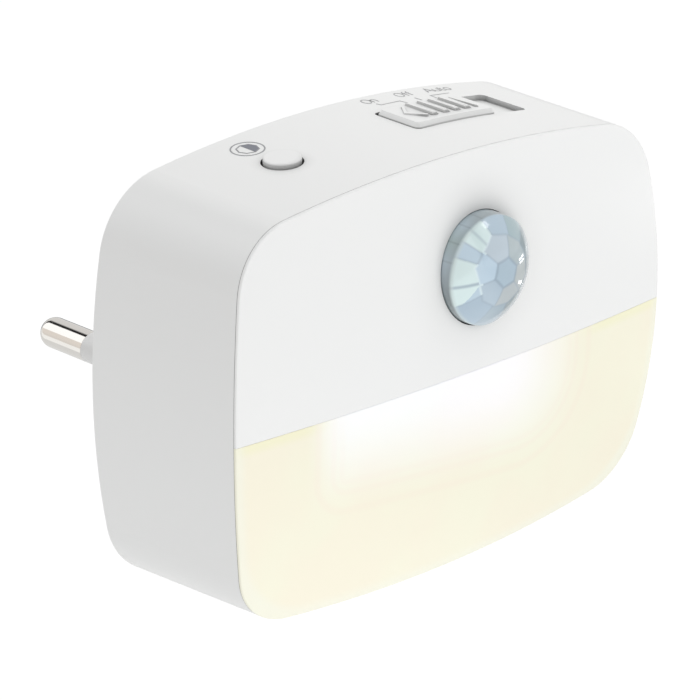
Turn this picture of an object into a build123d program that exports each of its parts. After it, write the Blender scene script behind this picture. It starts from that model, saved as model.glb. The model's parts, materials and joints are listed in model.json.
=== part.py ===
from build123d import *
import os
from math import atan, atan2, cos, degrees, radians, sin, sqrt, tan

# Plug-in night light with a motion sensor, millimetres.
# Origin: middle of the plug's end face, between the pins. +X right as seen from the front, +Y towards the
# wall (the pins point along +Y), +Z up. The round front with the lamp window faces -Y.

# ---------------------------------------------------------------- overall body
body_width = 70.0            # front outline, at the level of the front corners
body_height = 50.3
body_depth = 19.9            # front corners to rear plane
rear_flare = 0.85            # the outline grows this much on every side towards the rear
top_arc_radius = 164.4
bottom_arc_radius = 264.5
side_arc_radius = 88.6
top_corner_radius = 8.9
bottom_corner_radius = 8.7
rise_across = 1.71           # bulge of the front from side to side
rise_up = 2.60               # bulge of the front from bottom to top
wall = 1.8
cut_over = 1.0               # cuts start this far outside what they cut

# ---------------------------------------------------------------- front cover
cover_thickness = 2.0
cover_flange = 0.3           # thin edge that lies over the housing's rim
cover_edge_round = 0.22
cover_edge_band = 1.5        # the rounded front edge lies within this depth of the front corners
cover_spigot_inset = 0.9
joint_gap = 0.06             # fine parting line between cover and housing
fit_gap = 0.1                # between parts that are pushed together
split_height = -0.3          # seam between the white panel and the diffuser, from the body's middle
split_gap = 0.03
tongue_thickness = 0.8
tongue_overlap = 2.4
tongue_root = 0.2            # how much the tongue thickens where it grows out of the diffuser
clip_width = 5.0
clip_thickness = 1.1
clip_reach = 10.0            # depth of the clip's end behind the front corners
clip_inset = 11.3            # middle of a clip from the body's side
barb_height = 0.5
barb_length = 1.4

# ---------------------------------------------------------------- plug
plug_reach = 22.05           # rear plane to the plug's end face
pedestal_height = 5.0
pedestal_width = 41.0
pedestal_tall = 19.0
pedestal_round = 5.0
pedestal_edge_round = 1.6
plug_drop = 10.5             # plug axis below the body's middle
plug_width = 33.0
plug_tall = 13.7
plug_slope = 4.6             # the plug's corners slope in by this much
plug_corner_round = 1.5
plug_edge_round = 0.8        # edge of the plug's end face
plug_wall = 2.0
plug_end_wall = 4.0
plug_flange = 1.5            # the plug insert is held behind the rear cover by this flange
plug_flange_thickness = 1.6
pin_spacing = 18.6
pin_diameter = 4.0
pin_length = 19.0
sleeve_length = 10.0
sleeve_root_diameter = 3.6   # the sleeve's narrow root inside the plug's end wall
shank_diameter = 3.0
pin_head_diameter = 5.6
pin_head_thickness = 1.2
pin_tail = 2.5
pin_tail_diameter = 2.1
pin_tip_flat = 0.5           # diameter left flat at the rounded tip
press_gap = 0.02
wire_diameter = 1.6
wire_bow = 3.0               # sideways slack of each mains wire
wire_bends = (0.3, 0.7)      # where along its run the wire bends
wire_bend_share = 0.8        # bend radius as a share of the run

# ---------------------------------------------------------------- rear cover and screws
rear_plate = 2.0
rear_gap = 0.15
boss_inset_x = 7.4           # screw bosses from the body's sides
boss_inset_z = 9.35          # screw bosses from the body's top and bottom
boss_diameter = 5.6
boss_length = 11.0
boss_web = 1.4               # webs tie each boss to the walls
boss_web_reach = 8.0
screw_diameter = 2.4
screw_core = 1.9             # the screws are drawn at their core size, without a thread
screw_length = 9.0
screw_head_diameter = 4.6
screw_head_height = 1.5
head_sink = 0.1              # the heads lie this far under the rear face
head_gap = 0.12
shank_gap = 0.15             # round a screw where it passes a plate
pilot_gap = 0.05             # round a screw's core in its boss or post
pilot_room = 1.0             # a screw hole goes on past the screw's end
cross_length = 2.3
cross_width = 0.5
cross_depth = 0.6

# ---------------------------------------------------------------- circuit board
board_room = 2.9             # room between the board and the rear plate
board_thickness = 1.6
board_inset = 7.0            # edge of the board from the body's sides
board_wide_height = 22.0
board_narrow_inset = 12.5    # the same above and below the wide part
board_top_inset = 5.75
board_bottom_inset = 4.15
board_corner_round = 1.0
post_inset = 9.6             # screw posts from the body's sides
post_z = 8.4
post_diameter = 4.6
board_screw_grip = 5.0       # length of the screw inside its post
board_head_diameter = 4.2
board_head_height = 1.4
leg_diameter = 0.6
leg_gap = 0.15
leg_stub = 1.0               # how far a leg comes out behind the board
leg_root = 0.3               # a leg starts this far inside its component
leg_inset = 1.5              # legs of the two switches above their lower edge
seat_gap = 0.05

# ---------------------------------------------------------------- light tray and lamps
tray_width = 42.6
tray_height = 16.8
tray_corner = 8.0
tray_wall = 1.0
tray_top = 0.9               # top of the tray above the body's middle
tray_back = 9.0
tray_peg_diameter = 3.0
tray_peg_x = 15.0
tray_peg_z = -12.0
tray_clearance = 0.3
led_board_thickness = 1.0
led_board_width = 38.0
led_tab_width = 5.0
led_tab_x = 14.0
led_board_setback = 1.6      # front edge of the lamp board behind the tongue
led_count = 6
led_pitch = 6.0
led_length = 3.5
led_width = 2.8
led_height = 0.8
led_well_diameter = 2.2
led_well_depth = 0.4
led_depth = 3.2              # depth of the row of lamps

# ---------------------------------------------------------------- motion sensor
lens_x = 1.8
lens_z = 11.7                # above the body's middle
lens_radius = 6.55
lens_wall_height = 1.35
lens_dome_height = 4.2
lens_wall = 0.6
lens_flange = 1.2
lens_flange_thickness = 0.8
lens_draft = 0.12            # the lens's side wall narrows this much towards the dome
lens_slope_room = 0.6        # the panel's slope across the lens
lens_gap = 0.1
can_diameter = 9.1
can_height = 4.2
can_rim = 0.5
can_rim_thickness = 0.6
can_edge_round = 0.4
sensor_leg_circle = 5.0
sensor_leg_angles = (45, 135, 225)
can_face_depth = 0.8
spacer_diameter = 7.9
window_length = 4.0
window_width = 3.0
window_thickness = 0.5
light_sensor_inset = 9.8     # from the body's left side
light_sensor_z = -7.0
light_sensor_diameter = 3.0
light_sensor_length = 4.5
light_sensor_face = 4.0
light_sensor_tip_flat = 0.4
light_sensor_rim = 0.4
light_sensor_rim_thickness = 0.8
light_leg_pitch = 2.54

# ---------------------------------------------------------------- slider
slot_inset = 23.4            # middle of the recess from the body's right side
slot_ahead = 2.65            # middle of the recess in front of the board
slot_width = 7.3
slot_corner = 0.7
slot_floor = 0.65            # depth of the recess
slider_travel = 4.8
slider_gap = 0.2
knob_length = 13.4
knob_corner = 0.9
knob_proud = 0.55
knob_bevel = 35.0            # slope of the knob's sides in degrees
knob_skirt = 1.2             # straight-sided lower part of the knob
knob_raw_height = 1.2        # height of the bevelled upper part before its top is cut to shape
knob_underside_gap = 0.35
stem_length = 3.0
stem_width = 4.0
stem_slot_gap = 0.25
stem_foot_gap = 0.8          # stem's foot above the switch case
fork_gap = 0.15
lever_length = 1.3
lever_width = 2.6
lever_rise = 3.4             # lever above the switch case
lever_depth = 2.0            # lever inside the switch case
lever_top_gap = 0.5
shoe_length = 3.6
shoe_width = 3.2
shoe_height = 1.0
hook_reach = 0.6
hook_height = 0.8
hook_gap = 0.6               # hook under the top wall, which slopes over it
rib_starts = (-2.75, -0.8, 0.98, 2.7, 4.55)   # steep left feet of the ribs from the knob's middle
rib_heights = (0.36, 0.36, 0.36, 0.36, 0.14)
rib_length = 4.5
rib_top_from = 0.4           # flat top of a rib, in shares of its height from its steep foot
rib_top_to = 0.95
rib_base = 3.1               # the rib's foot, in shares of its height
rib_rearward = 0.3           # middle of the ribs behind the knob's middle
arrow_rearward = 0.1
arrow_tip = -5.15
arrow_arm = 1.95
arrow_reach = 1.5
arrow_line = 0.32
arrow_height = 0.15
relief_root = 0.3            # ribs and arrow start this far inside the knob
switch_case_length = 11.0
switch_case_width = 5.3
switch_case_height = 5.4
switch_case_drop = 1.0       # top of the case below the board's top edge
switch_gap = 0.3
switch_leg_pitch = 2.5
switch_leg_places = (-1.5, -0.5, 0.5, 1.5)

# ---------------------------------------------------------------- push button
button_inset = 19.0          # from the body's left side
button_ahead = 3.2           # in front of the board
button_hole = 4.9
button_gap = 0.25
button_proud = 0.55
button_round = 0.2
button_travel = 0.4
button_collar = 7.6
button_collar_drop = 1.3
button_flange = 6.0
button_flange_thickness = 0.8
button_stem = 2.6
button_stem_length = 1.0
tact_size = 6.0
tact_height = 5.4
plunger_diameter = 3.2
plunger_rise = 1.2
plunger_depth = 2.0
plunger_gap = 0.2
plunger_room = 0.3           # under the plunger when it is pressed
tact_setback = 0.6           # front of the case behind a full square's front
tact_leg_pitch = 4.5

# ---------------------------------------------------------------- board components
film_length, film_height, film_width = 13.0, 11.5, 6.0
film_room = 2.1              # between the film capacitor and the left screw post
film_z = 7.4
film_leg_pitch = 10.0
film_round = 0.5
bulk_diameter, bulk_height = 8.0, 11.0
bulk_aside = 1.4             # beside the middle of the slide switch
bulk_room = 0.6              # between the large can and the slide switch above it
bulk_leg_pitch = 3.5
small_diameter, small_height = 5.0, 7.0
small_aside, small_lift = 4.8, 3.5   # the small can from the right screw post and above the large can
small_leg_pitch = 2.0
fuse_diameter, fuse_length = 3.2, 9.0
fuse_x, fuse_z = -9.0, -18.9
fuse_leg_pitch = 13.0
bridge_length, bridge_width, bridge_height = 4.7, 3.9, 2.3
bridge_x, bridge_z = 0.0, -15.0
bridge_pitch = 2.54
chip_length, chip_width, chip_height = 4.9, 3.9, 1.6
chip_x, chip_z = 4.0, 3.0
chip_pins = 4
chip_pin_pitch = 1.27
lead_width = 0.45            # flat leads of the components behind the board
lead_thickness = 0.4
lead_reach = 1.1
regulator_length, regulator_width, regulator_height = 4.5, 2.5, 1.5
regulator_x, regulator_z = -9.0, 0.0
regulator_pitch = 1.5
regulator_lead_shift = 0.8
resistor_length, resistor_width, resistor_height = 2.0, 1.25, 0.5
resistor_columns, resistor_rows = 4, 2
resistor_pitch_x, resistor_pitch_z = 3.4, 2.6
resistor_inset, resistor_z = 21.0, -4.0

# ---------------------------------------------------------------- worked out
rear_y = -plug_reach
front_y = rear_y - body_depth
body_z = plug_drop
flare_rate = rear_flare / body_depth
draft_angle = degrees(atan(flare_rate))
apex_depth = -(rise_across + rise_up)
across_radius = ((body_width / 2) ** 2 + rise_across**2) / (2 * rise_across)
up_radius = ((body_height / 2) ** 2 + rise_up**2) / (2 * rise_up)
plate_depth = body_depth - rear_plate
board_rear = plate_depth - board_room
board_depth = board_rear - board_thickness
board_width = body_width - 2 * board_inset
board_narrow_width = body_width - 2 * board_narrow_inset
board_top = body_height / 2 - board_top_inset
board_bottom = board_bottom_inset - body_height / 2
boss_x = body_width / 2 - boss_inset_x
boss_z = body_height / 2 - boss_inset_z
post_x = body_width / 2 - post_inset
clip_x = body_width / 2 - clip_inset
light_sensor_x = light_sensor_inset - body_width / 2
slot_x = body_width / 2 - slot_inset
button_x = button_inset - body_width / 2
film_x = post_diameter / 2 + film_room + film_length / 2 - post_x
bulk_x = slot_x + bulk_aside
small_x = post_x - small_aside
resistor_x = body_width / 2 - resistor_inset
slot_depth_centre = board_depth - slot_ahead
button_depth = board_depth - button_ahead
slider_angle = atan2(slot_x, sqrt(top_arc_radius**2 - slot_x**2))
slot_length = knob_length + slider_travel + 2 * slider_gap
knob_x = slot_x - slider_travel / 2 * cos(slider_angle)
knob_left = knob_x - knob_length / 2
knob_right = knob_x + knob_length / 2
cap_diameter = button_hole - 2 * button_gap
pilot_diameter = screw_core + 2 * pilot_gap
shank_hole = screw_diameter + 2 * shank_gap
sides = (-1, 1)


# ================================================================ drawing helpers
def front_plane(depth):
    """Plane parallel to the front; local x is +X and local y is +Z, and it faces forwards."""
    return Plane(origin=(0, front_y + depth, body_z), x_dir=(1, 0, 0), z_dir=(0, -1, 0))


def prism(sketch, near, far):
    """A sketch in front view, carried from one depth to another behind the front corners."""
    return extrude(front_plane(far) * sketch, amount=far - near)


def block(x, depth, height, length, thick, tall):
    """A box given by its middle: x, depth behind the front corners, height from the body's middle."""
    return Pos(x, front_y + depth, body_z + height) * Box(length, thick, tall)


def rod(x, height, diameter, near, far):
    """A round bar along Y."""
    return prism(Pos(x, height) * Circle(diameter / 2), near, far)


def upright(x, depth, diameter, low, high):
    """A round bar along Z, from one height to another."""
    bar = Cylinder(diameter / 2, high - low, align=(Align.CENTER, Align.CENTER, Align.MIN))
    return Pos(x, front_y + depth, body_z + low) * bar


def corner_arc(half_width, half_height, side_radius, edge_radius, corner_radius):
    """Centre of a corner circle inside both long arcs, and the points where it meets them."""
    side_centre = Vector(half_width - side_radius, 0)
    edge_centre = Vector(0, half_height - edge_radius)
    to_side = side_radius - corner_radius
    to_edge = edge_radius - corner_radius
    apart = edge_centre - side_centre
    along = (to_side**2 - to_edge**2 + apart.length**2) / (2 * apart.length)
    across = sqrt(to_side**2 - along**2)
    direction = apart.normalized()
    centre = side_centre + direction * along + Vector(-direction.Y, direction.X) * across
    if centre.X < 0:
        centre = side_centre + direction * along - Vector(-direction.Y, direction.X) * across
    on_side = side_centre + (centre - side_centre).normalized() * side_radius
    on_edge = edge_centre + (centre - edge_centre).normalized() * edge_radius
    return centre, on_side, on_edge


def outline(grow):
    """The body's outline of eight tangent arcs, grown by an even amount all round."""
    half_w = body_width / 2 + grow
    half_h = body_height / 2 + grow
    side_r = side_arc_radius + grow
    top_r = top_corner_radius + grow
    low_r = bottom_corner_radius + grow
    top_c, top_side, top_edge = corner_arc(half_w, half_h, side_r, top_arc_radius + grow, top_r)
    low_c, low_side, low_edge = corner_arc(half_w, half_h, side_r, bottom_arc_radius + grow, low_r)
    arcs = []
    for s in sides:
        top_mid = top_c + ((top_side + top_edge) * 0.5 - top_c).normalized() * top_r
        low_mid = low_c + ((low_side + low_edge) * 0.5 - low_c).normalized() * low_r
        side_top = (s * top_side.X, top_side.Y)
        side_low = (s * low_side.X, -low_side.Y)
        arcs.append(ThreePointArc(side_low, (s * half_w, 0), side_top))
        arcs.append(ThreePointArc(side_top, (s * top_mid.X, top_mid.Y), (s * top_edge.X, top_edge.Y)))
        arcs.append(ThreePointArc(side_low, (s * low_mid.X, -low_mid.Y), (s * low_edge.X, -low_edge.Y)))
    arcs.append(ThreePointArc((top_edge.X, top_edge.Y), (0, half_h), (-top_edge.X, top_edge.Y)))
    arcs.append(ThreePointArc((low_edge.X, -low_edge.Y), (0, -half_h), (-low_edge.X, -low_edge.Y)))
    return make_face(arcs)


def flared(grow, near, far):
    """The body's drafted form between two depths, grown by an even amount all round."""
    face = front_plane(far) * outline(grow + flare_rate * far)
    return extrude(face, amount=far - near, taper=draft_angle)


front_room = apex_depth - cut_over     # a depth just in front of everything but the lens


def behind_front(inset):
    """Everything behind the domed front surface, moved rearwards by inset: an arc turned about a far axis."""
    radius = up_radius - inset
    apex = apex_depth + inset
    reach = body_height * 0.7
    far = body_depth + cut_over
    sag = radius - sqrt(radius**2 - reach**2)
    arc = ThreePointArc((0, apex + sag, -reach), (0, apex, 0), (0, apex + sag, reach))
    frame = Polyline((0, apex + sag, reach), (0, far, reach), (0, far, -reach), (0, apex + sag, -reach))
    profile = make_face([arc, *frame.edges()])
    axis = Axis((0, apex_depth + across_radius, 0), (0, 0, 1))
    half_turn = degrees(atan(body_width / across_radius))
    solid = revolve(profile.rotate(axis, -half_turn), axis, revolution_arc=2 * half_turn)
    return Pos(0, front_y, body_z) * solid


def front_depth(x, height):
    """Depth of the domed front surface at a place on the front."""
    ring = across_radius - (up_radius - sqrt(up_radius**2 - height**2))
    return apex_depth + across_radius - sqrt(ring**2 - x**2)


def top_height(x, depth):
    """Height of the top surface above the body's middle."""
    radius = top_arc_radius + flare_rate * depth
    return body_height / 2 - top_arc_radius + sqrt(radius**2 - x**2)


def save(shape, name):
    export_step(shape, "parts/" + name + ".step")


# ================================================================ places shared by several pieces
slot_seat = top_height(slot_x, slot_depth_centre)
switch_case_top = board_top - switch_case_drop
bulk_z = switch_case_top - switch_case_height - bulk_room - bulk_diameter / 2
small_z = bulk_z + small_lift
button_ceiling = top_height(button_x, button_depth) - wall - button_collar_drop
button_foot = button_ceiling - fit_gap - button_flange_thickness - button_stem_length
tact_top = button_foot - seat_gap - plunger_rise
film_legs = [(film_x + s * film_leg_pitch / 2, film_z) for s in sides]
bulk_legs = [(bulk_x + s * bulk_leg_pitch / 2, bulk_z) for s in sides]
small_legs = [(small_x + s * small_leg_pitch / 2, small_z) for s in sides]
fuse_legs = [(fuse_x + s * fuse_leg_pitch / 2, fuse_z) for s in sides]
sensor_leg_radius = sensor_leg_circle / 2
sensor_legs = [
    (lens_x + sensor_leg_radius * cos(radians(a)), lens_z + sensor_leg_radius * sin(radians(a)))
    for a in sensor_leg_angles
]
light_legs = [(light_sensor_x + s * light_leg_pitch / 2, light_sensor_z) for s in sides]
switch_leg_height = switch_case_top - switch_case_height + leg_inset
switch_legs = [(slot_x + s * switch_leg_pitch, switch_leg_height) for s in switch_leg_places]
tact_legs = [(button_x + s * tact_leg_pitch / 2, tact_top - tact_height + leg_inset) for s in sides]
all_legs = film_legs + bulk_legs + small_legs + fuse_legs + sensor_legs + light_legs + switch_legs + tact_legs


def legs(places, start):
    """Wire legs from a component down through the board."""
    return [rod(x, z, leg_diameter, start, board_rear + leg_stub) for x, z in places]


# ================================================================ casing
def clip_places():
    return [(s * clip_x, edge) for s in sides for edge in sides]


def clip_box(x, edge, length, near, far):
    """A box over the whole wall above or below a clip."""
    tall = body_height
    return block(x, (near + far) / 2, edge * tall / 2, length, far - near, tall)


def make_housing():
    outer = flared(0, front_room, body_depth) & behind_front(cover_flange + joint_gap)
    body = outer - flared(-wall, front_room, body_depth)
    rim = flared(-cover_spigot_inset + fit_gap, front_room, body_depth)
    body -= rim - behind_front(cover_thickness + fit_gap)
    inside = flared(-wall / 2, front_room, plate_depth)
    for x in (-boss_x, boss_x):
        for z in (-boss_z, boss_z):
            start = plate_depth - boss_length
            boss = rod(x, z, boss_diameter, start, plate_depth)
            out_x = x + (boss_web_reach if x > 0 else -boss_web_reach) / 2
            out_z = z + (boss_web_reach if z > 0 else -boss_web_reach) / 2
            web = block(out_x, (start + plate_depth) / 2, z, boss_web_reach, boss_length, boss_web)
            web += block(x, (start + plate_depth) / 2, out_z, boss_web, boss_length, boss_web_reach)
            body += (boss + web) & inside
            body -= rod(x, z, pilot_diameter, body_depth - screw_length - pilot_room, plate_depth)
    recess_plan = RectangleRounded(slot_length, slot_width, slot_corner)
    column = extrude(Pos(slot_x, front_y + slot_depth_centre, body_z) * recess_plan, amount=body_height)
    body -= column - flared(-slot_floor, front_room, body_depth)
    stem_slot = stem_length + slider_travel + 2 * stem_slot_gap
    body -= Pos(slot_x, front_y + slot_depth_centre, body_z + body_height / 2) * Box(
        stem_slot, stem_width + 2 * stem_slot_gap, body_height / 2
    )
    collar = upright(button_x, button_depth, button_collar, button_ceiling, body_height)
    body += collar & inside
    body -= upright(button_x, button_depth, button_hole, 0, body_height)
    pocket_grow = -wall + barb_height + fit_gap
    for x, edge in clip_places():
        near = clip_reach - barb_length - fit_gap
        pocket = clip_box(x, edge, clip_width + 2 * fit_gap, near, clip_reach + fit_gap)
        body -= pocket & flared(pocket_grow, front_room, body_depth)
    return body


def make_cover():
    """Both halves of the front cover in one, before the seam parts them."""
    skin = flared(0, front_room, body_depth) & behind_front(0)
    front_edges = skin.edges().filter_by(lambda e: e.bounding_box().max.Y < front_y + cover_edge_band)
    skin = fillet(front_edges, cover_edge_round)
    flange = skin - behind_front(cover_flange)
    plate = flared(-cover_spigot_inset, front_room, body_depth) & behind_front(0)
    plate -= behind_front(cover_thickness)
    return flange + plate


def cover_clip(x, edge):
    """A springy leg with a barb that snaps into the housing's wall."""
    leg_face = -wall - 2 * fit_gap
    leg = clip_box(x, edge, clip_width, front_room, clip_reach)
    leg &= flared(leg_face, front_room, body_depth)
    leg -= flared(leg_face - clip_thickness, front_room, body_depth)
    barb = clip_box(x, edge, clip_width, clip_reach - barb_length, clip_reach)
    barb &= flared(-wall + barb_height, front_room, body_depth)
    barb -= flared(leg_face - clip_thickness, front_room, body_depth)
    return (leg + barb) & behind_front(cover_thickness / 2)


def below(height):
    """The half space under a height, as a big box."""
    return block(0, 0, height - body_height, 2 * body_width, 4 * body_depth, 2 * body_height)


def above(height):
    return block(0, 0, height + body_height, 2 * body_width, 4 * body_depth, 2 * body_height)


def make_front_panel(cover):
    panel = cover & above(split_height + split_gap / 2)
    hole = rod(lens_x, lens_z, 2 * (lens_radius + lens_gap), front_room, body_depth)
    for x in (-post_x, post_x):
        post = rod(x, post_z, post_diameter, front_room, board_depth - seat_gap)
        panel += post & behind_front(cover_thickness / 2)
    for x, edge in clip_places():
        if edge > 0:
            panel += cover_clip(x, edge)
    for x in (-post_x, post_x):
        panel -= rod(x, post_z, pilot_diameter, board_depth - board_screw_grip - pilot_room, board_depth)
    return panel - hole


def tongue_zone(low, high, spare):
    layer = behind_front(cover_thickness + seat_gap - spare)
    layer -= behind_front(cover_thickness + seat_gap + tongue_thickness + spare)
    strip = block(0, 0, (low + high) / 2, 2 * body_width, 4 * body_depth, high - low)
    return layer & strip & flared(-wall - 3 * fit_gap + spare, front_room, body_depth)


def make_diffuser(cover):
    window = cover & below(split_height - split_gap / 2)
    low = split_height - tongue_overlap / 2
    window += tongue_zone(low, split_height + tongue_overlap, 0)
    root = tongue_zone(low, split_height - split_gap / 2, tongue_root)
    window += root & behind_front(cover_thickness / 2)
    for x, edge in clip_places():
        if edge < 0:
            window += cover_clip(x, edge)
    return window


def plug_profile(grow):
    """Flat hexagon of a slim two-pin plug, with its corners rounded."""
    half_w = plug_width / 2 + grow
    half_t = plug_tall / 2 + grow
    mitre = grow * tan(radians(22.5))
    flat = plug_width / 2 - plug_slope + mitre
    end = plug_tall / 2 - plug_slope + mitre
    points = [
        (half_w, end),
        (flat, half_t),
        (-flat, half_t),
        (-half_w, end),
        (-half_w, -end),
        (-flat, -half_t),
        (flat, -half_t),
        (half_w, -end),
    ]
    shape = make_face(Polyline(*points, close=True))
    return Pos(0, -plug_drop) * fillet(shape.vertices(), plug_corner_round)


def make_rear_cover():
    plate = flared(-wall - rear_gap, plate_depth, body_depth)
    pedestal_plan = Pos(0, -plug_drop) * RectangleRounded(pedestal_width, pedestal_tall, pedestal_round)
    pedestal = prism(pedestal_plan, body_depth, body_depth + pedestal_height)
    rear_rim = pedestal.faces().sort_by(Axis.Y)[-1].edges()
    pedestal = fillet(rear_rim, pedestal_edge_round)
    cover = plate + pedestal
    cover -= prism(plug_profile(fit_gap), plate_depth, body_depth + pedestal_height)
    flange_room = plug_profile(plug_flange + fit_gap)
    cover -= prism(flange_room, plate_depth, body_depth + pedestal_height - rear_plate)
    for x in (-boss_x, boss_x):
        for z in (-boss_z, boss_z):
            cover -= rod(x, z, shank_hole, plate_depth, body_depth)
            cover -= screw_head(x, z, head_gap)
    return cover


def screw_head(x, z, spare):
    """Countersunk head, its face just under the cover's rear face."""
    top = screw_head_diameter / 2 + spare
    low = screw_diameter / 2 + spare
    rear = body_depth - head_sink + spare
    cone = Cone(low, top, screw_head_height, align=(Align.CENTER, Align.CENTER, Align.MAX))
    plane = Plane(origin=(x, front_y + rear, body_z + z), x_dir=(1, 0, 0), z_dir=(0, 1, 0))
    return plane * cone


def cross_slot(x, z, face):
    """The cross-shaped recess in a screw's head."""
    bar = block(x, face, z, cross_length, 2 * cross_depth, cross_width)
    return bar + block(x, face, z, cross_width, 2 * cross_depth, cross_length)


def make_rear_screws():
    screws = []
    for x in (-boss_x, boss_x):
        for z in (-boss_z, boss_z):
            head = screw_head(x, z, 0)
            face = body_depth - head_sink
            shaft = rod(x, z, screw_core, body_depth - screw_length, face)
            screws.append(head + shaft - cross_slot(x, z, face))
    return Compound(children=screws)


def make_board_screws():
    screws = []
    for x in (-post_x, post_x):
        seat = board_rear + seat_gap
        face = seat + board_head_height
        head = rod(x, post_z, board_head_diameter, seat, face)
        shaft = rod(x, post_z, screw_core, board_depth - board_screw_grip, face)
        screws.append(head + shaft - cross_slot(x, post_z, face))
    return Compound(children=screws)


# ================================================================ plug pieces
def make_plug_body():
    end = body_depth + plug_reach
    start = body_depth + pedestal_height - rear_plate - plug_flange_thickness
    outer = prism(plug_profile(0), start, end)
    end_edges = outer.faces().sort_by(Axis.Y)[-1].edges()
    outer = fillet(end_edges, plug_edge_round)
    outer += prism(plug_profile(plug_flange), start, start + plug_flange_thickness)
    outer -= prism(plug_profile(-plug_wall), start, end - plug_end_wall)
    for s in sides:
        outer -= rod(s * pin_spacing / 2, -plug_drop, sleeve_root_diameter + 2 * press_gap, start, end)
    return outer


def pin_bar(s, diameter, near, far):
    """A round bar on a pin's axis, between two distances from the plug's end face."""
    end = body_depth + plug_reach
    return rod(s * pin_spacing / 2, -plug_drop, diameter, end + near, end + far)


def make_pin(s):
    tip = pin_bar(s, pin_diameter, sleeve_length, pin_length)
    tip_edge = tip.faces().sort_by(Axis.Y)[-1].edges()
    tip = fillet(tip_edge, (pin_diameter - pin_tip_flat) / 2)
    shank = pin_bar(s, shank_diameter, -plug_end_wall, sleeve_length)
    head_end = -plug_end_wall - pin_head_thickness
    head = pin_bar(s, pin_head_diameter, head_end, -plug_end_wall)
    tail = pin_bar(s, pin_tail_diameter, head_end - pin_tail, -plug_end_wall)
    return tip + shank + head + tail


def make_sleeve(s):
    """Insulating tube, flush with the pin's bare end, with a shoulder on the plug's end face."""
    tube = pin_bar(s, pin_diameter, press_gap, sleeve_length - press_gap)
    tube += pin_bar(s, sleeve_root_diameter, -plug_end_wall + press_gap, sleeve_length / 2)
    return tube - pin_bar(s, shank_diameter + 2 * press_gap, -plug_end_wall, sleeve_length)


def make_wire(s):
    """Insulated wire from a pin's tail to the board, with a gentle sideways bow."""
    start = plug_end_wall + pin_head_thickness + pin_tail + seat_gap
    finish = plug_reach + body_depth - board_rear - seat_gap
    run = finish - start
    x = s * pin_spacing / 2
    out = s * wire_bow
    points = [
        (x, -start, 0),
        (x, -start - wire_bends[0] * run, 0),
        (x + out, -start - wire_bends[1] * run, 0),
        (x + out, -finish, 0),
    ]
    path = FilletPolyline(*points, radius=[wire_bend_share * run] * 2)
    section = Plane(origin=path @ 0, z_dir=path % 0) * Circle(wire_diameter / 2)
    return sweep(section, path=path)


# ================================================================ board and lamps
def make_board():
    plan = Rectangle(board_width, board_wide_height)
    middle = (board_top + board_bottom) / 2
    plan += Pos(0, middle) * Rectangle(board_narrow_width, board_top - board_bottom)
    plan = fillet(plan.vertices(), board_corner_round)
    board = prism(plan, board_depth, board_rear)
    for x, z in all_legs:
        board -= rod(x, z, leg_diameter + 2 * leg_gap, board_depth, board_rear)
    for x in (-post_x, post_x):
        board -= rod(x, post_z, shank_hole, board_depth, board_rear)
    for s in sides:
        hole_wide = led_tab_width + 2 * fit_gap
        hole_tall = led_board_thickness + 2 * fit_gap
        height = tray_top + seat_gap + led_board_thickness / 2
        board -= block(s * led_tab_x, board_rear, height, hole_wide, 3 * board_thickness, hole_tall)
    return board


def tray_plan(grow):
    """U-shaped chamber: square at the top, round at the lower corners."""
    width = tray_width + 2 * grow
    low = tray_top - tray_height - grow
    plan = Pos(0, (tray_top + low) / 2) * Rectangle(width, tray_top - low)
    lower = plan.vertices().sort_by(Axis.Y)[:2]
    return fillet(lower, tray_corner + grow)


def make_tray():
    outer = prism(tray_plan(0), front_room, tray_back + tray_wall)
    inner = prism(tray_plan(-tray_wall), front_room, tray_back)
    tray = (outer - inner) & behind_front(cover_thickness + tray_clearance)
    tray -= tongue_zone(split_height - tongue_overlap, split_height + 2 * tongue_overlap, tray_clearance)
    for s in sides:
        start = tray_back + tray_wall / 2
        tray += rod(s * tray_peg_x, tray_peg_z, tray_peg_diameter, start, board_depth - seat_gap)
    return tray


def make_led_board():
    front = front_depth(0, 0) + cover_thickness + tongue_thickness + led_board_setback
    height = tray_top + seat_gap + led_board_thickness / 2
    rear = board_depth - seat_gap
    strip = block(0, (front + rear) / 2, height, led_board_width, rear - front, led_board_thickness)
    for s in sides:
        length = board_rear + leg_stub - rear
        strip += block(s * led_tab_x, rear + length / 2, height, led_tab_width, length, led_board_thickness)
    return strip


def led_places():
    return [(i - (led_count - 1) / 2) * led_pitch for i in range(led_count)]


def make_leds():
    lamps = []
    for x in led_places():
        z = tray_top + seat_gap - led_height / 2
        case = block(x, led_depth, z, led_length, led_width, led_height)
        well = Pos(x, front_y + led_depth, body_z + tray_top + seat_gap - led_height)
        case -= well * Cylinder(led_well_diameter / 2, 2 * led_well_depth)
        lamps.append(case)
    return Compound(children=lamps)


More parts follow.
